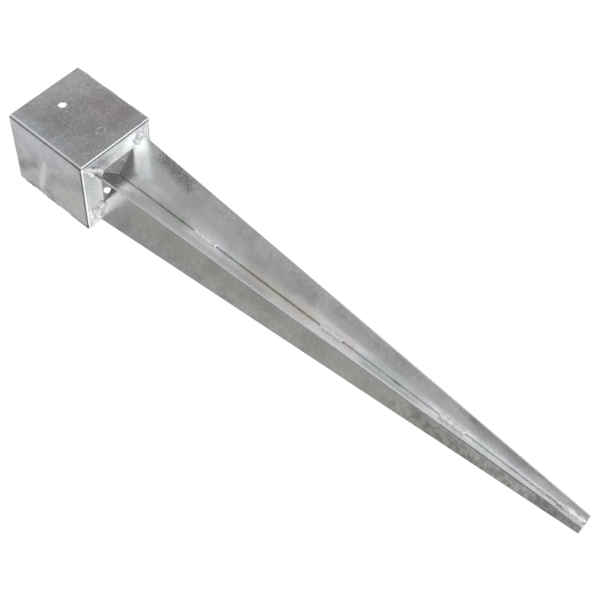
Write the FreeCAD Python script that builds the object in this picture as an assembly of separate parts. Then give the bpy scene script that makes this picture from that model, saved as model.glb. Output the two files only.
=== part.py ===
import FreeCAD, Part
import math
import os

# Drive-in ground spike for a square timber post: a folded sheet-steel socket welded on two tapered
# right-angle profiles that stand back to back and make a cross of four fins.
# Frame: +Z up the post. The origin is on the axis at ground level, the underside of the socket's flanges.
# The socket's walls face -Y (front), -X (left), +Y (rear) and +X (right). Lengths are millimetres.

# ---- driving dimensions ----
POST = 100.0               # side of the square post that the socket takes
SHEET = 2.0                # sheet thickness of every piece
TOTAL_LENGTH = 750.0       # mouth of the socket to the cut tip
SOCKET_HEIGHT = 116.0      # ground level to the mouth
BEND_INSIDE = 2.0          # inside radius of every bend

FLANGE_REACH = 26.0        # outer wall face to the flange's inner edge
MITRE_GAP = 0.6            # gap between two flanges along a mitre
CORNER_STEP = 0.3          # how far a lapping wall stops short of its neighbour's outer face
BEND_CLEARANCE = 0.3       # gap between two flange bends that meet at an open corner
RELIEF_RADIUS = 1.0        # relief hole where three bends of one sheet meet
RELIEF_INSET = 5.2         # its centre, inside both outer faces

BOLT_HOLE = 10.0           # clearance for M8
BOLT_HOLES = ((0.0, 30.0), (2.0, 89.5))   # each cross hole: (off the centre line, below the mouth)

FIN_TOP = 54.6             # axis to a fin's outer edge at the socket
FIN_TIP = 10.5             # axis to a fin's outer edge at the tip
SPINE_GAP = 0.2            # least gap between the two profiles' backs

# Weld beads. A span is (start, end), rounded ends included.
STITCH_RADIUS = 2.2        # beads on the socket's open corners, spans measured down from the mouth
STITCH_INSET = 1.1         # bead's centre line inside both outer faces
STITCH_SPANS = {"upper": (8.0, 25.0), "middle": (43.0, 67.0), "lower": (84.0, 115.5)}

MITRE_RADIUS = 3.0         # beads on the outer part of a mitre, spans measured from the axis
MITRE_SPAN = (53.0, 67.5)
MITRE_SINK = 0.3           # bead's centre line below the flanges

FILLET_RADIUS = 4.0        # beads between a fin's side and the flanges
FILLET_SPAN = (33.5, 57.0)
FILLET_OFFSET = 1.4        # bead's centre line away from both faces that it joins

SPINE_RADIUS = 2.6         # beads in the groove between the profiles, spans measured down from the ground
SPINE_OFFSET = 2.8         # axis to the bead's centre line
SPINE_SPANS = ((118.0, 151.0), (300.0, 331.0), (399.0, 408.0), (458.0, 491.0), (601.0, 633.5))

# ---- derived ----
INNER = POST / 2                           # axis to a wall's inner face
HALF = INNER + SHEET                       # axis to a wall's outer face
BEND_OUTSIDE = BEND_INSIDE + SHEET
BEND_AXIS = HALF - BEND_OUTSIDE            # axis of the spike to the centre line of a socket bend
OPENING = HALF - FLANGE_REACH              # axis to a flange's inner edge
MOUTH = SOCKET_HEIGHT
TIP = MOUTH - TOTAL_LENGTH
COS45 = math.sqrt(0.5)
SPINE_AXIS = BEND_OUTSIDE + SPINE_GAP / 2  # axis of the spike to the centre line of a profile's bend
FIN_FACE = BEND_OUTSIDE - SPINE_AXIS * COS45   # diagonal plane to a fin's outer face

ORIGIN = FreeCAD.Vector(0, 0, 0)
X_AXIS = FreeCAD.Vector(1, 0, 0)
Y_AXIS = FreeCAD.Vector(0, 1, 0)
Z_AXIS = FreeCAD.Vector(0, 0, 1)

# The four fins: name, direction in degrees, and the side on each flank, anticlockwise flank first.
CORNERS = (
    ("front_left", 225, ("front", "left")),
    ("front_right", 315, ("right", "front")),
    ("rear_right", 45, ("rear", "right")),
    ("rear_left", 135, ("left", "rear")),
)


# ---- helpers ----

def vec(x, y, z):
    return FreeCAD.Vector(x, y, z)


def slab(low, high):
    """Box between two corners."""
    return Part.makeBox(high[0] - low[0], high[1] - low[1], high[2] - low[2], vec(*low))


def prism(outline, depth):
    """Straight extrusion of a closed outline."""
    return Part.Face(Part.makePolygon(outline + outline[:1])).extrude(depth)


def single(shape):
    """The only solid of a shape."""
    if len(shape.Solids) != 1:
        raise ValueError("expected one solid, got %d" % len(shape.Solids))
    return shape.Solids[0]


def largest(shape):
    """The largest solid of a shape, without the slivers that a cut leaves behind it."""
    return max(shape.Solids, key=lambda solid: solid.Volume)


def fused(solids):
    """One solid from solids that touch, with faces in one plane merged."""
    return single(solids[0].fuse(solids[1:]).removeSplitter())


def turned(shape, degrees):
    """Copy turned about the spike's axis."""
    copy = shape.copy()
    copy.rotate(ORIGIN, Z_AXIS, degrees)
    return copy


def swapped(shape):
    """Copy with X and Y swapped, which carries front features to the left."""
    return shape.mirror(ORIGIN, vec(1, -1, 0))


def quarter_tube(length):
    """The metal of one right-angle bend, from Z = 0 up, in the quarter where X and Y are positive."""
    solid = Part.makeCylinder(BEND_OUTSIDE, length, ORIGIN, Z_AXIS, 90)
    return solid.cut(Part.makeCylinder(BEND_INSIDE, length, ORIGIN, Z_AXIS, 90))


def capsule(start, end, radius):
    """Bead with round ends from point start to point end, ends included."""
    run = end.sub(start)
    unit = run.normalize()
    first = start.add(unit * radius)
    length = end.sub(start).Length - 2 * radius
    bead = Part.makeCylinder(radius, length, first, unit)
    caps = [Part.makeSphere(radius, first), Part.makeSphere(radius, first.add(unit * length))]
    return bead.fuse(caps).removeSplitter()


# ---- socket ----

def walls_and_upright_bend():
    """Front and left walls of one half, joined by the upright bend."""
    foot = BEND_OUTSIDE
    front = slab((-BEND_AXIS, -HALF, foot), (HALF - CORNER_STEP, -INNER, MOUTH))
    left = slab((-HALF, -BEND_AXIS, foot), (-INNER, INNER, MOUTH))
    bend = turned(quarter_tube(MOUTH - foot), 180)
    bend.translate(vec(-BEND_AXIS, -BEND_AXIS, foot))
    return [front, left, bend]


def corner_cap():
    """Pressed corner where the upright bend and the two flange bends of one sheet run together."""
    def three_way(radius):
        rods = [
            Part.makeCylinder(radius, 2 * HALF, axis * -HALF, axis)
            for axis in (X_AXIS, Y_AXIS, Z_AXIS)
        ]
        return rods[0].common(rods[1]).common(rods[2])

    octant = slab((-BEND_OUTSIDE,) * 3, (0, 0, 0))
    cap = three_way(BEND_OUTSIDE).common(octant).cut(three_way(BEND_INSIDE))
    cap.translate(vec(-BEND_AXIS, -BEND_AXIS, BEND_OUTSIDE))
    return cap


def front_flange(bend_end):
    """Bend and flat of the front wall's flange, its flat mitred at both ends."""
    bend = quarter_tube(bend_end + BEND_AXIS)
    bend.rotate(ORIGIN, Y_AXIS, 90)
    bend.rotate(ORIGIN, X_AXIS, -90)
    bend.translate(vec(-BEND_AXIS, -BEND_AXIS, BEND_OUTSIDE))
    gap = MITRE_GAP * COS45
    outline = [
        vec(-BEND_AXIS + gap, -BEND_AXIS, 0),
        vec(BEND_AXIS - gap, -BEND_AXIS, 0),
        vec(OPENING - gap, -OPENING, 0),
        vec(-OPENING + gap, -OPENING, 0),
    ]
    return [bend, prism(outline, vec(0, 0, SHEET))]


def bolt_holes(solid):
    """The solid with both cross holes, which run straight through the front and rear walls."""
    for offset, drop in BOLT_HOLES:
        start = vec(offset, -HALF - 1, MOUTH - drop)
        solid = solid.cut(Part.makeCylinder(BOLT_HOLE / 2, 2 * HALF + 2, start, Y_AXIS))
    return single(solid)


def socket_half():
    """One bent sheet, not yet drilled: front wall, left wall and their two flanges."""
    pieces = walls_and_upright_bend() + [corner_cap()] + front_flange(HALF - CORNER_STEP)
    pieces += [swapped(piece) for piece in front_flange(BEND_AXIS - BEND_CLEARANCE)]
    relief = RELIEF_INSET - HALF
    relief_hole = Part.makeCylinder(RELIEF_RADIUS, BEND_OUTSIDE, vec(relief, relief, -1), Z_AXIS)
    return single(fused(pieces).cut(relief_hole))


# ---- spike ----

def fin():
    """Tapered plate of one fin, along +X, with its outer face towards +Y."""
    root = SPINE_AXIS * COS45
    outline = [
        vec(root, FIN_FACE, 0),
        vec(FIN_TOP, FIN_FACE, 0),
        vec(FIN_TIP, FIN_FACE, TIP),
        vec(root, FIN_FACE, TIP),
    ]
    return prism(outline, vec(0, -SHEET, 0))


def spike_profile():
    """Tapered sheet folded along the axis, its back towards +X and its fins front left and rear left."""
    bend = turned(quarter_tube(-TIP), -45)
    bend.translate(vec(-SPINE_AXIS, 0, TIP))
    front_left = turned(fin(), 225)
    rear_left = front_left.mirror(ORIGIN, Y_AXIS)
    return fused([bend, front_left, rear_left])


# ---- welds ----

def stitch_weld(span, sheets):
    """Upright bead on the open corner at the front right, cut back to the sheets and the socket's inside."""
    line = HALF - STITCH_INSET
    bead = capsule(vec(line, -line, MOUTH - span[0]), vec(line, -line, MOUTH - span[1]), STITCH_RADIUS)
    inside = slab((0, -INNER, 0), (INNER, 0, MOUTH))
    return single(bead.cut(sheets + [inside]))


def fillet_weld(direction, flank, solids):
    """Bead between one flank of a fin (1 is anticlockwise, -1 clockwise) and the flanges above it."""
    offset = flank * (SHEET / 2 + FILLET_OFFSET)
    start = vec(FILLET_SPAN[0], offset, -FILLET_OFFSET)
    end = vec(FILLET_SPAN[1], offset, -FILLET_OFFSET)
    far_side = sorted((0, -flank * HALF))
    other_flank = slab((0, far_side[0], -HALF), (2 * HALF, far_side[1], HALF))
    bead = turned(capsule(start, end, FILLET_RADIUS).cut(other_flank), direction)
    above = slab((-HALF, -HALF, 0), (HALF, HALF, 2 * SHEET))
    return largest(bead.cut(solids + [above]))


def mitre_weld(direction, solids):
    """Bead on the outer part of the mitre between two flanges."""
    bead = capsule(vec(MITRE_SPAN[0], 0, -MITRE_SINK), vec(MITRE_SPAN[1], 0, -MITRE_SINK), MITRE_RADIUS)
    above = slab((-HALF, -HALF, SHEET / 2), (HALF, HALF, 2 * SHEET))
    return largest(turned(bead, direction).cut(solids + [above]))


def spine_weld(span, profiles):
    """Bead in the front groove between the two profiles."""
    bead = capsule(vec(0, -SPINE_OFFSET, -span[0]), vec(0, -SPINE_OFFSET, -span[1]), SPINE_RADIUS)
    behind = slab((-HALF, -SHEET / 2, TIP), (HALF, HALF, 0))
    return single(bead.cut(profiles + [behind]))


# ---- assembly ----

def build():
    """Every sub-part by its name."""
    half = socket_half()
    socket = {
        "socket_half_front": bolt_holes(half),
        "socket_half_rear": bolt_holes(turned(half, 180)),
    }
    sheets = list(socket.values())
    spike = {"spike_profile_left": spike_profile()}
    spike["spike_profile_right"] = turned(spike["spike_profile_left"], 180)
    profiles = list(spike.values())

    parts = {**socket, **spike}
    for level, span in STITCH_SPANS.items():
        stitch = stitch_weld(span, sheets)
        parts["corner_weld_front_right_" + level] = stitch
        parts["corner_weld_rear_left_" + level] = turned(stitch, 180)
    for corner, direction, sides in CORNERS:
        fillets = []
        for flank, side in zip((1, -1), sides):
            fillets.append(fillet_weld(direction, flank, sheets + profiles))
            parts["fin_weld_%s_on_%s" % (corner, side)] = fillets[-1]
        parts["mitre_weld_" + corner] = mitre_weld(direction, sheets + profiles + fillets)
    for number, span in enumerate(SPINE_SPANS, start=1):
        weld = spine_weld(span, profiles)
        parts["spine_weld_front_%d" % number] = weld
        parts["spine_weld_rear_%d" % number] = turned(weld, 180)
    return parts


def main():
    os.makedirs("parts", exist_ok=True)
    for name, shape in build().items():
        if not shape.isValid():
            raise ValueError(name + " is not valid")
        shape.exportStep("parts/%s.step" % name)
        print("%-32s %9.1f mm3" % (name, shape.Volume))


main()
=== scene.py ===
import math
import random

import bmesh
import bpy
from mathutils import Matrix, Vector, noise


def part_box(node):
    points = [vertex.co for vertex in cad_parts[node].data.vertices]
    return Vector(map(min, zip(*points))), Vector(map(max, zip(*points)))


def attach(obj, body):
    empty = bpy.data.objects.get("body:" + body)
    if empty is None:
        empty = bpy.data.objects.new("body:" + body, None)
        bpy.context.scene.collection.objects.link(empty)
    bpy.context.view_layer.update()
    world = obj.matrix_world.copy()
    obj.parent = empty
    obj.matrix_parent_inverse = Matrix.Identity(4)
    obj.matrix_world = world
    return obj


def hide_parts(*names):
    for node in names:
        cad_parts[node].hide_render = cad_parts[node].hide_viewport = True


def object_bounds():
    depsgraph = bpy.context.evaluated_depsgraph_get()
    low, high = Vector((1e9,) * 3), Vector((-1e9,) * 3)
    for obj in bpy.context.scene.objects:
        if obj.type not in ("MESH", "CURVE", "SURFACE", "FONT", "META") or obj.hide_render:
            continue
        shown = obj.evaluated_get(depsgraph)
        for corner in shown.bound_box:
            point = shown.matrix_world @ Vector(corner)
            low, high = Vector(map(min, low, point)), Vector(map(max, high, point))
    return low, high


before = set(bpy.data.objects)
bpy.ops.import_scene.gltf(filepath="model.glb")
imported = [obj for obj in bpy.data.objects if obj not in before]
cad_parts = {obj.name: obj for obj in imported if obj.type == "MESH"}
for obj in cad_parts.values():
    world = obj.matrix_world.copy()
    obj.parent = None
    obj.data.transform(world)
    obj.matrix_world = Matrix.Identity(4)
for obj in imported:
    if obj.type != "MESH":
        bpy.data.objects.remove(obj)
cad_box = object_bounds()

# Lengths are metres, apart from the tables whose comments say mm. The front is -Y and the left -X.
MM = 0.001
UP = Vector((0, 0, 1))
CORNERS = {"front_left": (-1, -1), "front_right": (1, -1), "rear_right": (1, 1), "rear_left": (-1, 1)}
SIDES = {"front": (0, -1), "left": (-1, 0), "rear": (0, 1), "right": (1, 0)}

TIP_Z = cad_box[0][2]                      # cut end of the spike
MOUTH_Z = cad_box[1][2]                    # rim of the socket
FIN_TOP = 54.6 * MM                        # axis to a fin's outer edge at the socket
FIN_TIP = 10.5 * MM                        # axis to a fin's outer edge at the tip
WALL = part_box("socket_half_front")[0][0]   # x of the left wall's outer face, and y of the front's
OPENING = 26.0 * MM                        # axis to a flange's inner edge
BEND = 4.0 * MM                            # outside radius of the socket's bends
BEND_AXIS = -WALL - BEND                   # axis to the centre line of a bend
BOLT_HOLES = ((0.0, 86.0), (2.0, 26.5))    # x and z of the bolt holes, mm
BOLT_RADIUS = 5.0 * MM


# ---- camera, floor and light ----

CAMERA_AIM = Vector((8.1, -4.5, -264.8)) * MM
CAMERA_DISTANCE = 1.30886
LOOK_AZIMUTH, LOOK_ELEVATION, CAMERA_ROLL = 29.07, 20.137, 53.208   # degrees
FOCAL_LENGTH, SENSOR_WIDTH = 74.2, 36.0    # camera millimetres


def direction(azimuth, elevation):
    """Unit vector towards an azimuth, where 0 is +Y and 90 is +X, and an elevation, both in degrees."""
    a, e = math.radians(azimuth), math.radians(elevation)
    return Vector((math.sin(a) * math.cos(e), math.cos(a) * math.cos(e), math.sin(e)))


def add_camera():
    """Camera low on the front left, looking up at the socket and rolled until the tip points down right."""
    data = bpy.data.cameras.new("camera")
    data.sensor_width = SENSOR_WIDTH
    data.lens = FOCAL_LENGTH
    obj = bpy.data.objects.new("camera", data)
    bpy.context.scene.collection.objects.link(obj)
    forward = direction(LOOK_AZIMUTH, LOOK_ELEVATION)
    right = forward.cross(UP).normalized()
    up = right.cross(forward)
    roll = math.radians(CAMERA_ROLL)
    turned_up = up * math.cos(roll) + right * math.sin(roll)
    turned_right = right * math.cos(roll) - up * math.sin(roll)
    rotation = Matrix((turned_right, turned_up, -forward)).transposed()
    obj.matrix_world = Matrix.Translation(CAMERA_AIM - forward * CAMERA_DISTANCE) @ rotation.to_4x4()
    bpy.context.scene.camera = obj


class Tree:
    """Short calls that add nodes to one node tree. Each gives back the new node's output socket."""

    def __init__(self, owner):
        owner.use_nodes = True
        self.nodes = owner.node_tree.nodes
        self.links = owner.node_tree.links

    def put(self, value, socket):
        if isinstance(value, bpy.types.NodeSocket):
            self.links.new(value, socket)
        else:
            socket.default_value = value

    def node(self, kind, inputs=(), output=0, **settings):
        made = self.nodes.new("ShaderNode" + kind)
        for key, value in settings.items():
            setattr(made, key, value)
        for key, value in dict(inputs).items():
            self.put(value, made.inputs[key])
        return made.outputs[output]

    def position(self):
        """Place on the object."""
        return self.node("TexCoord", output=3)

    def axes(self, vector):
        """The x, y and z of a vector."""
        return self.node("SeparateXYZ", {0: vector}).node.outputs

    def grey(self, level):
        return self.node("CombineColor", {0: level, 1: level, 2: level})

    def math(self, operation, *values, clamp=False):
        return self.node("Math", enumerate(values), operation=operation, use_clamp=clamp)

    def vector(self, operation, *values, output=0):
        return self.node("VectorMath", enumerate(values), output, operation=operation)

    def mix(self, factor, a, b, blend="MIX"):
        """Mix of two colours."""
        return self.node("Mix", {0: factor, 6: a, 7: b}, 2, data_type="RGBA", blend_type=blend)

    def fit(self, value, low, high, to_low=0.0, to_high=1.0):
        """Value carried smoothly from one range to another and held at the ends."""
        inputs = {0: value, 1: low, 2: high, 3: to_low, 4: to_high}
        return self.node("MapRange", inputs, interpolation_type="SMOOTHSTEP")

    def noise(self, vector, scale, detail, roughness=0.5):
        inputs = {"Vector": vector, "Scale": scale, "Detail": detail, "Roughness": roughness}
        return self.node("TexNoise", inputs)

    def ramp(self, factor, stops):
        """Grey or colour ramp from (position, value or colour) pairs."""
        socket = self.node("ValToRGB", {0: factor})
        elements = socket.node.color_ramp.elements
        while len(elements) < len(stops):
            elements.new(1.0)
        for element, (position, colour) in zip(elements, stops):
            element.position = position
            element.color = (*colour, 1) if isinstance(colour, tuple) else (colour, colour, colour, 1)
        return socket

    def stroke(self, point, start, end, radius):
        """Soft brush stroke: 1 on the line from start to end, 0 from radius outward, all in mm."""
        start, end = Vector(start) * MM, Vector(end) * MM
        run = end - start
        offset = self.vector("SUBTRACT", point, start)
        along = self.vector("DOT_PRODUCT", offset, run, output=1)
        along = self.math("MULTIPLY", along, 1 / run.length_squared, clamp=True)
        nearest = self.node("VectorMath", {0: run, "Scale": along}, operation="SCALE")
        distance = self.vector("DISTANCE", offset, nearest, output=1)
        return self.fit(distance, 0.0, radius * MM, 1.0, 0.0)

    def paint(self, point, strokes):
        """Colour multiplier: 1, plus what each (start, end, radius, colour change) stroke adds."""
        total = self.node("CombineXYZ", {0: 1.0, 1: 1.0, 2: 1.0})
        for start, end, radius, change in strokes:
            mask = self.stroke(point, start, end, radius)
            amount = (change,) * 3 if isinstance(change, float) else change
            total = self.vector("MULTIPLY_ADD", mask, amount, total)
        return total


# Soft boxes and dark flags round the studio: azimuth, elevation, half-width in degrees, radiance.
STUDIO = (
    (150.0, 55.0, 18.0, 0.10),
    (209.0, 3.0, 15.0, 0.95),
    (209.0, 30.0, 12.0, 0.35),
    (292.0, 28.0, 14.0, -0.22),
    (334.0, 30.0, 22.0, 0.24),
)
GROUND_RADIANCE, HORIZON_RADIANCE, ZENITH_RADIANCE = 0.6, 0.33, 0.55
# Sines of the elevations over which the ground's light turns into the horizon's, and that into the zenith's.
GROUND_BAND, ZENITH_BAND = (-0.25, 0.0), (0.72, 0.95)

FLOOR_Z = -1.45
FLOOR_RADIUS = 6.0
FLOOR_GLOW = 0.85
FLOOR_SHADE = 0.3                          # share of the glow that is left right under the object
FLOOR_SHADE_BAND = (0.9, 1.7)              # from the axis: where the shade begins to fade, and is gone
LIGHT_TARGET = Vector((0, 0, -0.15))       # on the axis, in the upper part of the spike


def add_world():
    """Pale studio: bright overhead, greyer round the sides, with soft boxes and flags.

    The camera itself sees white behind the object.
    """
    world = bpy.data.worlds.new("studio")
    bpy.context.scene.world = world
    tree = Tree(world)
    sky = tree.node("TexCoord", output=0)
    height = tree.axes(sky)[2]
    above = tree.fit(height, *ZENITH_BAND, HORIZON_RADIANCE, ZENITH_RADIANCE)
    below = tree.fit(height, *GROUND_BAND, GROUND_RADIANCE, HORIZON_RADIANCE)
    is_above = tree.math("GREATER_THAN", height, 0.0)
    total = tree.math("MULTIPLY_ADD", tree.math("SUBTRACT", above, below), is_above, below)
    for azimuth, elevation, half_width, radiance in STUDIO:
        cosine = tree.vector("DOT_PRODUCT", sky, direction(azimuth, elevation), output=1)
        sharpness = 1 / (1 - math.cos(math.radians(half_width)))
        lobe = tree.math("EXPONENT", tree.math("MULTIPLY_ADD", cosine, sharpness, -sharpness))
        total = tree.math("MULTIPLY_ADD", lobe, radiance, total)
    seen = tree.node("LightPath", output=0)
    shade = tree.mix(seen, tree.grey(total), (1, 1, 1, 1))
    tree.put(shade, tree.nodes["Background"].inputs["Color"])


def add_floor():
    """Pale floor far below the object, with a soft glow that is weaker right under it."""
    mesh = bpy.data.meshes.new("floor")
    form = bmesh.new()
    bmesh.ops.create_circle(form, cap_ends=True, segments=64, radius=FLOOR_RADIUS)
    form.to_mesh(mesh)
    form.free()
    floor = bpy.data.objects.new("floor", mesh)
    floor.location = (0, 0, FLOOR_Z)
    bpy.context.scene.collection.objects.link(floor)
    material = bpy.data.materials.new("floor_paper")
    tree = Tree(material)
    shader = tree.nodes["Principled BSDF"]
    point = tree.position()
    grain = tree.noise(point, 40.0, 3.0)
    tree.put(tree.ramp(grain, ((0.3, 0.80), (0.7, 0.83))), shader.inputs["Base Color"])
    shader.inputs["Roughness"].default_value = 0.7
    away = tree.vector("LENGTH", point, output=1)
    tree.put(tree.fit(away, *FLOOR_SHADE_BAND, FLOOR_SHADE, 1.0), shader.inputs["Emission Color"])
    shader.inputs["Emission Strength"].default_value = FLOOR_GLOW
    mesh.materials.append(material)


def add_soft_box(name, azimuth, elevation, distance, size, watts):
    """Square area light that faces the object."""
    data = bpy.data.lights.new(name, "AREA")
    data.shape = "SQUARE"
    data.size = size
    data.energy = watts
    lamp = bpy.data.objects.new(name, data)
    towards = direction(azimuth, elevation)
    lamp.location = LIGHT_TARGET + towards * distance
    lamp.rotation_euler = towards.to_track_quat("Z", "Y").to_euler()
    bpy.context.scene.collection.objects.link(lamp)


# ---- galvanised sheet ----

# Places for the strokes below, in mm.

def on_front(x, z):
    return (x, WALL / MM, z)


def on_left(y, z):
    return (WALL / MM, y, z)


def inside_right(y, z):
    """Place on the right wall's inner face."""
    return (50, y, z)


def on_flange(x, y):
    return (x, y, 0)


def in_groove(x, z, depth=5):
    """Place in the spike's front groove, depth in front of the axis."""
    return (x, -depth, z)


def on_fin(corner, reach, z):
    """Place on a fin, reach from the axis."""
    x, y = CORNERS[corner]
    return (x * reach * math.sqrt(0.5), y * reach * math.sqrt(0.5), z)


SOCKET_ZINC, SPIKE_ZINC = 0.76, 0.81       # reflectance of the plain skin

# Painted highlights, painted reflections and painted shade, with some tints of the zinc: broad brush strokes
# of lighter, darker or tinted skin. (start, end, radius, change), in mm.
SOCKET_TINTS_AND_PAINTED_LIGHT = (
    (on_front(-10, 122), on_front(50, 104), 48, (0.25, 0.23, 0.23)),
    (on_front(-48, 112), on_front(-48, 40), 14, (0.04, 0.08, 0.12)),
    (on_front(-40, 5), on_front(44, 5), 16, (0.10, 0.10, 0.13)),
    (on_front(-22, 72), on_front(0, 45), 30, -0.12),
    (on_front(20, 22), on_front(42, 26), 18, -0.12),
    (on_front(27, 64), on_front(32, 32), 22, (0.02, -0.08, -0.06)),
    (on_front(-38, 42), on_front(-36, 24), 16, (-0.07, -0.03, -0.04)),
    (on_front(30, 98), on_front(31, 82), 13, 0.12),
    (on_front(-45, 68), on_front(-45, 60), 10, -0.13),
    (on_front(0, 37), on_front(2, 32), 11, -0.10),
    (on_left(27, 114), on_left(6, 86), 13, (-0.27, -0.29, -0.28)),
    (on_left(-10, 65), on_left(38, 79), 7, (0.50, 0.46, 0.42)),
    (on_left(-12, 80), on_left(6, 84), 8, -0.12),
    (on_left(30, 90), on_left(24, 84), 10, (0.05, -0.05, -0.04)),
    (on_left(-15, 104), on_left(0, 96), 14, 0.12),
    (on_left(-25, 100), on_left(-38, 50), 44, (-0.01, -0.01, 0.06)),
    (on_left(2, 46), on_left(-18, 8), 14, (-0.18, -0.17, -0.19)),
    (on_left(2, 52), on_left(22, 62), 9, -0.14),
    (on_left(13, 38), on_left(27, 14), 13, (0.04, 0.03, -0.04)),
    (on_left(38, 67), on_left(43, 60), 8, (-0.30, -0.29, -0.27)),
    (on_left(36, 44), on_left(40, 40), 9, -0.13),
    (on_left(47, 96), on_left(48, 88), 9, -0.20),
    (on_left(-44, 112), on_left(-40, 20), 24, (0.10, 0.11, 0.13)),
    (on_left(-42, 112), on_left(-30, 72), 24, 0.10),
    (on_left(18, 84), on_left(28, 76), 10, 0.16),
    (on_left(33, 108), on_left(27, 108), 10, -0.18),
    (on_flange(-40, -40), on_flange(-26, -40), 18, (-0.34, -0.31, -0.28)),
    (on_flange(18, -36), on_flange(34, -38), 15, (0.32, 0.38, 0.42)),
    (on_flange(-16, -38), on_flange(-8, -38), 8, -0.20),
    (on_flange(-38, 26), on_flange(-38, 36), 12, 0.26),
    (on_flange(-38, -34), on_flange(-38, -28), 8, -0.2),
    (on_flange(-40, -20), on_flange(-40, 24), 14, (-0.14, -0.08, -0.12)),
    (on_flange(40, -44), on_flange(40, 40), 16, (-0.34, -0.34, -0.30)),
    (inside_right(38, 90), inside_right(27, 82), 14, -0.30),
)
# Patches of speckle: (start, end, radius, strength, size of a speck), in mm.
SOCKET_MOTTLES = (
    (on_front(-36, 24), on_front(26, 34), 52, 0.13, 1.3),
    (on_front(-30, 60), on_front(40, 90), 60, 0.07, 3.4),
)
# Painted highlights, painted reflections and painted shade on the fins and in the grooves, with some tints,
# as brush strokes like those above.
SPIKE_TINTS_AND_PAINTED_LIGHT = (
    (on_fin("front_right", 30, -5), on_fin("front_right", 26, -620), 30, 0.10),
    (on_fin("front_right", 20, -45), on_fin("front_right", 17, -175), 15, 0.14),
    (on_fin("front_right", 28, -32), on_fin("front_right", 20, -66), 16, (0.28, 0.32, 0.32)),
    (on_fin("front_right", 24, -120), on_fin("front_right", 22, -140), 15, 0.20),
    (on_fin("front_right", 14, -300), on_fin("front_right", 14, -346), 12, 0.22),
    (on_fin("front_right", 22, -476), on_fin("front_right", 19, -490), 9, -0.20),
    (on_fin("front_right", 44, -8), on_fin("front_right", 47, -22), 14, (0.30, 0.32, 0.34)),
    (on_fin("front_right", 8, -3), on_fin("front_right", 12, -20), 10, 0.30),
    (on_fin("front_right", 46, -44), on_fin("front_right", 39, -84), 13, (-0.38, -0.39, -0.40)),
    (on_fin("front_right", 44, -120), on_fin("front_right", 29, -350), 10, 0.16),
    (on_fin("front_right", 13, -290), on_fin("front_right", 11, -470), 11, 0.20),
    (on_fin("front_right", 18, -490), on_fin("front_right", 10, -630), 8, -0.24),
    (on_fin("front_left", 14, -58), on_fin("front_left", 13, -108), 16, (-0.26, -0.27, -0.32)),
    (on_fin("front_left", 52, -6), on_fin("front_left", 50, -15), 9, -0.55),
    (on_fin("front_left", 36, -45), on_fin("front_left", 29, -235), 20, -0.30),
    (on_fin("front_left", 47, -50), on_fin("front_left", 44, -86), 8, -0.16),
    (on_fin("front_left", 8, -150), on_fin("front_left", 8, -176), 13, (0.05, 0.06, 0.09)),
    (on_fin("front_left", 10, -196), on_fin("front_left", 9, -285), 15, (-0.05, -0.08, -0.17)),
    (on_fin("front_left", 8, -298), on_fin("front_left", 8, -332), 12, (0.09, 0.09, 0.12)),
    (on_fin("front_left", 19, -370), on_fin("front_left", 11, -600), 10, (-0.26, -0.25, -0.25)),
    (on_fin("front_left", 15, -366), on_fin("front_left", 14, -425), 22, (-0.26, -0.26, -0.28)),
    (on_fin("front_left", 22.5, -470), on_fin("front_left", 12.8, -605), 4, -0.38),
    (on_fin("front_left", 46, -22), on_fin("front_left", 30, -34), 9, 0.20),
    (on_fin("rear_left", 28, -50), on_fin("rear_left", 20, -560), 24, (-0.04, -0.03, -0.09)),
    (on_fin("rear_left", 45, -42), on_fin("rear_left", 51, -36), 13, -0.20),
    (on_fin("rear_left", 33, -165), on_fin("rear_left", 29, -350), 12, 0.14),
    (on_fin("rear_left", 16, -440), on_fin("rear_left", 20, -515), 12, -0.20),
    (on_fin("rear_left", 9, -585), on_fin("rear_left", 10, -634), 14, -0.28),
    (in_groove(3, -114), in_groove(3, -154), 15, (0.18, 0.18, 0.24)),
    (in_groove(3, -350), in_groove(3, -450), 8, (0.14, 0.16, 0.22)),
    (in_groove(4, -454), in_groove(4, -494), 13, (0.30, 0.30, 0.36)),
    (in_groove(4, -494), in_groove(4, -570), 7, (0.16, 0.18, 0.24)),
    (in_groove(5, -570), in_groove(5, -634), 8, (0.30, 0.34, 0.40)),
    (in_groove(0, -335, 1), in_groove(0, -600, 1), 3.4, 0.2),
)
SPIKE_MOTTLES = (
    (on_fin("front_right", 47, -42), on_fin("front_right", 40, -86), 15, 0.42, 1.3),
    (on_fin("front_right", 36, -130), on_fin("front_right", 20, -420), 14, 0.07, 5.0),
    (on_fin("rear_left", 40, -60), on_fin("rear_left", 30, -300), 26, 0.06, 5.0),
    (on_fin("rear_left", 18, -420), on_fin("rear_left", 10, -620), 20, 0.17, 5.5),
)


# The scales of noises are per metre, so 900 gives patches of about a millimetre.

def bloom(tree, point):
    """Faint green and pink of the passivated zinc."""
    tints = ((0.36, (0.97, 1.0, 0.985)), (0.5, (1.0, 1.0, 1.0)), (0.64, (1.0, 0.975, 0.985)))
    return tree.ramp(tree.noise(point, 26.0, 1.0), tints)


def crystals(tree, point, size):
    """Zinc crystals: 1 at their middles and 0 along their borders, with each one's own level mixed in."""
    warp = tree.node("TexNoise", {"Vector": point, "Scale": 0.3 / size, "Detail": 2.0}, 1)
    shift = tree.vector("SUBTRACT", warp, (0.5, 0.5, 0.5))
    bent = tree.vector("MULTIPLY_ADD", shift, (1.5 * size,) * 3, point)
    cells = {"Vector": bent, "Scale": 1 / size}
    middle = tree.fit(tree.node("TexVoronoi", cells, 0), 0.0, 0.6, 1.0, 0.0)
    level = tree.node("SeparateColor", {0: tree.node("TexVoronoi", cells, 1)}, 0)
    return tree.math("MULTIPLY_ADD", level, 0.5, tree.math("MULTIPLY", middle, 0.5))


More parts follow.
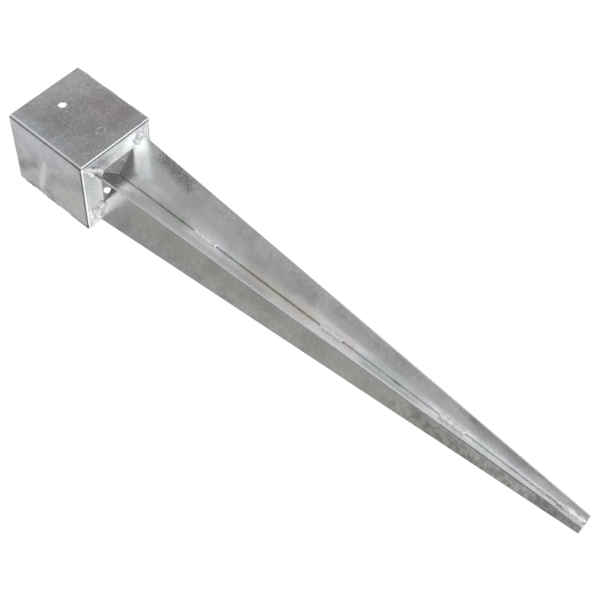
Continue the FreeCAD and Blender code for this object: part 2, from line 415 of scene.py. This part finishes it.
def rim_and_flange_edges(tree, point):
    """Mask of the socket's cut edges: 1 on its rim and the flanges' inner edges, 0.8 in the bolt holes."""
    side, front, _ = tree.axes(tree.vector("ABSOLUTE", point))
    height = tree.axes(point)[2]
    inner = tree.fit(tree.math("MAXIMUM", side, front), OPENING + 0.1 * MM, OPENING + 0.8 * MM, 1.0, 0.0)
    on_flanges = tree.math("LESS_THAN", height, 2.5 * MM)
    rim = tree.fit(height, MOUTH_Z - 0.9 * MM, MOUTH_Z - 0.1 * MM)
    flat = tree.vector("MULTIPLY", point, (1, 0, 1))
    away = [tree.vector("DISTANCE", flat, (x * MM, 0, z * MM), output=1) for x, z in BOLT_HOLES]
    bore = tree.fit(tree.math("MINIMUM", *away), BOLT_RADIUS + 0.1 * MM, BOLT_RADIUS + 0.9 * MM, 0.8, 0.0)
    edges = tree.math("MAXIMUM", tree.math("MULTIPLY", inner, on_flanges), rim)
    return tree.math("MAXIMUM", edges, bore)


def fin_edges(tree, point):
    """Mask of the spike's sheared edges: 1 on a line along each fin's tapered edge and on the cut tip.

    The line starts below the welds, runs along the middle of the edge near the socket and crosses to the
    burred side towards the tip.
    """
    x, y, _ = tree.axes(tree.vector("ABSOLUTE", point))
    z = tree.axes(point)[2]
    reach = tree.math("MULTIPLY", tree.math("ADD", x, y), math.sqrt(0.5))
    width = tree.math("MULTIPLY_ADD", z, (FIN_TOP - FIN_TIP) / -TIP_Z, FIN_TOP)
    outer = tree.fit(tree.math("SUBTRACT", width, reach), 0.1 * MM, 0.7 * MM, 1.0, 0.0)
    burr = tree.fit(z, -370.0 * MM, -240.0 * MM, 1.4 * MM, 0.14 * MM)
    off_line = tree.math("ABSOLUTE", tree.math("SUBTRACT", tree.math("SUBTRACT", y, x), burr))
    line = tree.math("MULTIPLY", outer, tree.fit(off_line, 0.6 * MM, 1.1 * MM, 1.0, 0.0))
    line = tree.math("MULTIPLY", line, tree.fit(z, -20.0 * MM, -13.0 * MM, 1.0, 0.0))
    tip = tree.fit(z, TIP_Z + 0.1 * MM, TIP_Z + 0.8 * MM, 1.0, 0.0)
    return tree.math("MAXIMUM", line, tip)


# Painted highlight and painted shade bands round a bend: (place, multiplier as a share of BEND_PEAK). The
# feet run from a wall at 0 to its flange at 1, and the upright bends from the left wall to the front one, or
# from the right wall to the rear one.
BEND_PEAK = 1.3
FRONT_FOOT = (
    (0.0, 0.77), (0.1, 0.96), (0.38, 1.0), (0.47, 0.24),
    (0.62, 0.24), (0.72, 0.92), (0.9, 0.92), (1.0, 0.77),
)
SIDE_FOOT = (
    (0.0, 0.77), (0.14, 0.45), (0.35, 0.34), (0.47, 0.75),
    (0.57, 1.0), (0.66, 0.90), (0.8, 0.52), (1.0, 0.77),
)
UPRIGHT = (
    (0.0, 0.77), (0.14, 0.72), (0.24, 0.42), (0.36, 0.42),
    (0.48, 0.80), (0.62, 0.96), (0.85, 1.0), (1.0, 0.77),
)


def bend_highlight_and_shade(tree, point):
    """Multiplier round the bends: bands of painted highlight and painted shade.

    All four flanges are bent. Of the upright corners, only the front left and rear right ones are.
    """
    across = tree.axes(tree.vector("ABSOLUTE", point))
    side, front = (tree.math("SUBTRACT", distance, BEND_AXIS) for distance in across[:2])
    x, y, z = tree.axes(point)
    quarter = 2 / math.pi
    foot = tree.math("ARCTAN2", tree.math("SUBTRACT", BEND, z), tree.math("MAXIMUM", side, front))
    foot = tree.math("MULTIPLY", foot, quarter)
    on_side = tree.math("GREATER_THAN", side, front)
    foot = tree.mix(on_side, tree.ramp(foot, FRONT_FOOT), tree.ramp(foot, SIDE_FOOT))
    folded = tree.math("GREATER_THAN", tree.math("MULTIPLY", x, y), 0.0)
    upright = tree.math("MULTIPLY", tree.math("ARCTAN2", front, side), quarter)
    upright = tree.ramp(tree.math("MULTIPLY", upright, folded), UPRIGHT)
    turn = tree.vector("LENGTH", tree.node("CombineXYZ", {0: side, 1: front}), output=1)
    inside = tree.fit(turn, 2.4 * MM, 3.6 * MM, 1.0, 0.0)
    upright = tree.mix(inside, upright, (1, 1, 1, 1))
    return tree.math("MULTIPLY", tree.math("MULTIPLY", foot, upright), BEND_PEAK ** 2)


CUT_EDGE = (0.95, 0.94, 0.92, 1)           # colour of a sheared edge
CUT_ROUGHNESS = 0.42                       # how much rougher it is than the skin
SHEET_RELIEF = 0.012 * MM


def sheet_material(name, zinc, crystal_size, crystal_contrast, strokes, mottles, edges, folds=False):
    """Galvanised sheet: crystals, fine grain, broad unevenness, tints and painted light, a faint bloom and
    pale, rough sheared edges.

    zinc is the skin's reflectance, crystal_contrast is how far the crystals go above and below it, strokes
    are the tints and the painted highlights, reflections and shade, edges is the function that masks the
    sheared edges, and folds adds the painted highlight and shade bands of the socket's bends.
    """
    material = bpy.data.materials.new(name)
    tree = Tree(material)
    point = tree.position()
    crystal = crystals(tree, point, crystal_size)
    grain = tree.noise(point, 900.0, 3.0, 0.6)
    cloud = tree.noise(point, 30.0, 4.0, 0.55)
    sheared = edges(tree, point)

    tone = tree.fit(crystal, 0.1, 0.8, zinc - crystal_contrast, zinc + crystal_contrast)
    tone = tree.math("ADD", tone, tree.fit(cloud, 0.3, 0.7, -0.05, 0.05))
    tone = tree.math("ADD", tone, tree.fit(grain, 0.3, 0.7, -0.025, 0.025))
    for start, end, radius, strength, size in mottles:
        speck = tree.fit(tree.noise(point, 1 / (size * MM), 2.0, 0.7), 0.36, 0.64, -1.0, 1.0)
        amount = tree.math("MULTIPLY", tree.stroke(point, start, end, radius), strength)
        tone = tree.math("MULTIPLY_ADD", speck, amount, tone)
    # Painted highlight and painted shade bands round the socket's bends.
    if folds:
        tone = tree.math("MULTIPLY", tone, bend_highlight_and_shade(tree, point))
    # Tints and painted highlights, reflections and shade from the brush strokes.
    colour = tree.vector("MULTIPLY", tree.paint(point, strokes), tone)
    colour = tree.vector("MULTIPLY", colour, bloom(tree, point))
    colour = tree.mix(sheared, colour, CUT_EDGE)

    roughness = tree.fit(cloud, 0.3, 0.7, 0.20, 0.28)
    roughness = tree.math("ADD", roughness, tree.fit(crystal, 0.0, 1.0, -0.03, 0.03))
    roughness = tree.math("MULTIPLY_ADD", sheared, CUT_ROUGHNESS, roughness)
    waves = tree.noise(point, 12.0, 1.0)
    height = tree.math("MULTIPLY_ADD", waves, 22.0, tree.math("MULTIPLY_ADD", grain, 0.5, crystal))
    bump = tree.node("Bump", {"Strength": 1.0, "Distance": SHEET_RELIEF, "Height": height})

    shader = tree.nodes["Principled BSDF"]
    shader.inputs["Metallic"].default_value = 1.0
    tree.put(colour, shader.inputs["Base Color"])
    tree.put(roughness, shader.inputs["Roughness"])
    tree.put(bump, shader.inputs["Normal"])
    return material


WELD_METALLIC = 0.7                        # the rest is white zinc bloom
WELD_RELIEF = 0.025 * MM
STITCH_SHADE_LEVEL = 0.70                        # brightness of the corner stitches against the other beads, lowered as painted shade
TACK_SHADE_LEVEL = 0.4                           # and that of the small tack welds on the spine, lowered further as painted shade
TACK_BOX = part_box("spine_weld_front_3")
TACK_Z = (TACK_BOX[0].z + TACK_BOX[1].z) / 2
TACK_REACH = 8.0 * MM                      # half the height of the band that is darkened with painted shade


def weld_material():
    """Bright zinc over rippled weld metal, with painted shade: darker on the corner stitches and dark on the
    tack welds.
    """
    material = bpy.data.materials.new("zinc_coated_weld")
    tree = Tree(material)
    point = tree.position()
    patches = tree.noise(point, 350.0, 3.0, 0.6)
    grain = tree.noise(point, 1500.0, 2.0)
    z = tree.axes(point)[2]
    # Painted shade: base colour lowered on the corner stitches and, more, round the tack welds.
    on_tack = tree.math("COMPARE", z, TACK_Z, TACK_REACH)
    level = tree.fit(z, 1.0 * MM, 3.0 * MM, 1.0, STITCH_SHADE_LEVEL)
    level = tree.math("MULTIPLY_ADD", on_tack, TACK_SHADE_LEVEL - 1, level)
    zinc = tree.ramp(patches, ((0.34, 0.72), (0.54, 0.99)))
    height = tree.math("MULTIPLY_ADD", patches, 2.0, grain)
    bump = tree.node("Bump", {"Strength": 1.0, "Distance": WELD_RELIEF, "Height": height})

    shader = tree.nodes["Principled BSDF"]
    shader.inputs["Metallic"].default_value = WELD_METALLIC
    tree.put(tree.mix(1.0, zinc, tree.grey(level), "MULTIPLY"), shader.inputs["Base Color"])
    tree.put(tree.fit(patches, 0.3, 0.7, 0.5, 0.28), shader.inputs["Roughness"])
    tree.put(bump, shader.inputs["Normal"])
    return material


# ---- weld beads ----

RING_STEP = 0.3 * MM
RING_POINTS = 22
RIPPLE_PITCH = 1.5 * MM
RIPPLE_LOW, RIPPLE_RISE = 0.96, 0.07       # size at the foot of a ripple and the growth over it, as shares
GRIT = 0.10                                # share of the size that the finest lumps add or take
LUMP_SPACING, WANDER_SPACING = 2.6, 4.0    # in half widths
END_SIZE = 0.02                            # share of the size that the rounded ends close to
SHORTEST_EDGE = 0.01 * MM


def bead_texture(offset, s, angle, width):
    """Multiplier of a bead's size for its ripples and finest lumps, at s along it and angle round it."""
    lag = 0.5 * (1 - math.sin(angle)) * RIPPLE_PITCH
    phase = ((s + lag) / RIPPLE_PITCH + 0.4 * noise.noise(offset + Vector((s * 300, 3, 0)))) % 1.0
    ripple = RIPPLE_LOW + RIPPLE_RISE * math.sqrt(phase)
    place = Vector((s, math.cos(angle) * width, math.sin(angle) * width))
    return ripple * (1 + GRIT * noise.noise(offset + place * 900))


def bead_rings(form, start, end, outward, width, height, seed, lumps, wander, limits):
    """Rings of vertices from start to end."""
    rng = random.Random(seed)
    offset = Vector([rng.uniform(-50, 50) for _ in range(3)])
    along = (end - start).normalized()
    out = (outward - along * outward.dot(along)).normalized()
    side = along.cross(out)
    length = (end - start).length
    count = max(8, round(length / RING_STEP))
    rings = []
    for i in range(count + 1):
        s = length * i / count
        from_end = min(s, length - s)
        taper = math.sqrt(max(0.0, 1 - (1 - min(1.0, from_end / width)) ** 2))
        swell = 1 + lumps * noise.noise(offset + Vector((s / (LUMP_SPACING * width), 0, 0))) * 2
        drift = side * (noise.noise(offset + Vector((0, s / (WANDER_SPACING * width), 0))) * wander * width)
        ring = []
        for j in range(RING_POINTS):
            angle = 2 * math.pi * j / RING_POINTS
            scale = max(taper, END_SIZE) * swell * bead_texture(offset, s, angle, width)
            place = start + along * s + drift
            place += side * (math.cos(angle) * width * scale) + out * (math.sin(angle) * height * scale)
            for normal, distance in limits:
                place -= normal * max(0.0, place.dot(normal) - distance)
            ring.append(form.verts.new(place))
        rings.append(ring)
    return rings


def bead_mesh(name, start, end, outward, width, height, seed, lumps, wander=0.25, limits=()):
    """Run of weld metal from start to end, with ripples and lumps.

    outward is the side that shows, width and height are half sizes, and lumps and wander are how much the
    size and the line vary. limits are (direction, distance) planes that the metal doesn't pass.
    """
    form = bmesh.new()
    rings = bead_rings(form, start, end, outward, width, height, seed, lumps, wander, limits)
    for a, b in zip(rings, rings[1:]):
        for j in range(RING_POINTS):
            k = (j + 1) % RING_POINTS
            form.faces.new((a[j], a[k], b[k], b[j]))
    form.faces.new(list(reversed(rings[0])))
    form.faces.new(rings[-1])
    bmesh.ops.remove_doubles(form, verts=form.verts, dist=SHORTEST_EDGE)
    bmesh.ops.recalc_face_normals(form, faces=form.faces)
    mesh = bpy.data.meshes.new(name)
    form.to_mesh(mesh)
    form.free()
    for polygon in mesh.polygons:
        polygon.use_smooth = True
    piece = bpy.data.objects.new(name, mesh)
    bpy.context.scene.collection.objects.link(piece)
    return piece


# Corner stitches, mm: their line in x and y, their half size, and how near the axis they come in x and y.
CORNER_LINE, CORNER_SIZE, CORNER_LIMIT = 50.7, 1.9, 50.2
# Mitre beads, mm: reach of both ends, and half sizes. The one nearest the camera stands out most.
MITRE_ENDS = (49.0, 69.0)
MITRE = (1.4, 1.0)
MITRES = {"mitre_weld_front_left": (3.2, 2.1), "mitre_weld_rear_left": (2.4, 1.8)}
# Fillets under the flanges, mm: start and end reach, drop at the outer end, and half sizes. First the usual
# one, then those that differ. They run FILLET_OUT from the fin's middle and start FILLET_DROP below z 0.
FILLET_OUT, FILLET_DROP = 2.4, 1.4
FILLET = (35.5, 57.0, 1.4, 4.0, 3.2)
FILLETS = {
    "fin_weld_front_left_on_front": (36.0, 57.0, 2.6, 3.8, 2.9),
    "fin_weld_front_right_on_front": (41.0, 57.0, 1.2, 2.5, 2.2),
    "fin_weld_rear_left_on_left": (35.0, 57.0, 2.0, 4.4, 3.4),
}
# Beads end inside the sheets, so that no metal shows on the far side.
FLANGE_LIMIT = (UP, 1.0 * MM)              # the middle of the flanges
FIN_LIMIT = -0.3 * MM                      # just short of the middle of a fin
# Spine beads, by the number that ends the node's name: half sizes, distance from the axis, shift to the right
# of the groove, all in mm, and how far the face leans to the left, in degrees.
SPINES = {
    "1": (1.9, 0.8, 2.7, 0.5, 30),
    "2": (2.1, 0.8, 2.8, 0.5, 30),
    "3": (1.3, 0.5, 2.0, 0.0, 0),
    "4": (2.1, 0.8, 2.8, 0.5, 30),
    "5": (3.2, 0.9, 3.9, 0.7, 30),
}


# Each of these gives bead_mesh's arguments for one weld, from its node's name, direction and box.

def corner_bead(node, outward, low, high):
    """Stitch down one of the socket's open corners."""
    signs = [Vector((math.copysign(1, outward.x), 0, 0)), Vector((0, math.copysign(1, outward.y), 0))]
    line = sum(signs, Vector()) * CORNER_LINE * MM
    size = CORNER_SIZE * MM
    limits = [(-sign, -CORNER_LIMIT * MM) for sign in signs]
    return dict(start=line + UP * high.z, end=line + UP * low.z, outward=outward, width=size, height=size,
                lumps=0.06, wander=0.1, limits=limits)


def spine_bead(node, outward, low, high):
    """Run down a groove of the spike."""
    width, height, offset, shift, lean = SPINES[node[-1]]
    right = UP.cross(outward)
    line = (outward * offset + right * shift) * MM
    face = outward * math.cos(math.radians(lean)) - right * math.sin(math.radians(lean))
    return dict(start=line + UP * high.z, end=line + UP * low.z, outward=face, width=width * MM,
                height=height * MM, lumps=0.35, wander=0.1)


def mitre_bead(node, outward, low, high):
    """Run along a mitre between two flanges, on their underside."""
    width, height = MITRES.get(node, MITRE)
    start, end = (outward * reach * MM for reach in MITRE_ENDS)
    return dict(start=start, end=end, outward=-UP, width=width * MM, height=height * MM, lumps=0.5,
                limits=[FLANGE_LIMIT])


def fin_bead(node, outward, low, high):
    """Fillet between a flange and one flank of a fin."""
    corner = next(name for name in CORNERS if name in node)
    fin = Vector((*CORNERS[corner], 0)).normalized()
    toward = Vector((*SIDES[node.rsplit("_", 1)[1]], 0))
    flank = (toward - fin * toward.dot(fin)).normalized()
    start, end, drop, width, height = FILLETS.get(node, FILLET)
    return dict(start=(flank * FILLET_OUT - UP * FILLET_DROP + fin * start) * MM,
                end=(flank * FILLET_OUT - UP * drop + fin * end) * MM, outward=flank - UP, width=width * MM,
                height=height * MM, lumps=0.45, limits=[FLANGE_LIMIT, (-flank, FIN_LIMIT)])


BEADS = {"corner": corner_bead, "spine": spine_bead, "mitre": mitre_bead, "fin": fin_bead}


def add_beads(material):
    """Every weld, in the place of its CAD node."""
    for seed, node in enumerate(sorted(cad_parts)):
        if "weld" not in node:
            continue
        low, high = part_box(node)
        middle = (low + high) / 2
        outward = Vector((middle.x, middle.y, 0)).normalized()
        shape = BEADS[node.split("_")[0]](node, outward, low, high)
        piece = bead_mesh(node + "_bead", seed=seed, **shape)
        piece.data.materials.append(material)
        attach(piece, "root")
        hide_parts(node)


# ---- scene ----

add_camera()
add_world()
add_floor()
add_soft_box("overhead", azimuth=190.0, elevation=62.0, distance=1.6, size=1.0, watts=2.0)

sheet_materials = {
    "socket": sheet_material("galvanised_socket_sheet", SOCKET_ZINC, crystal_size=3.4 * MM,
                             crystal_contrast=0.07, strokes=SOCKET_TINTS_AND_PAINTED_LIGHT, mottles=SOCKET_MOTTLES,
                             edges=rim_and_flange_edges, folds=True),
    "spike": sheet_material("galvanised_spike_sheet", SPIKE_ZINC, crystal_size=3.0 * MM,
                            crystal_contrast=0.025, strokes=SPIKE_TINTS_AND_PAINTED_LIGHT, mottles=SPIKE_MOTTLES,
                            edges=fin_edges),
}
weld = weld_material()
for node_name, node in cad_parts.items():
    material = next((m for key, m in sheet_materials.items() if node_name.startswith(key)), weld)
    for slot in node.material_slots:
        slot.material = material
add_beads(weld)

bpy.context.scene.view_settings.view_transform = "Standard"
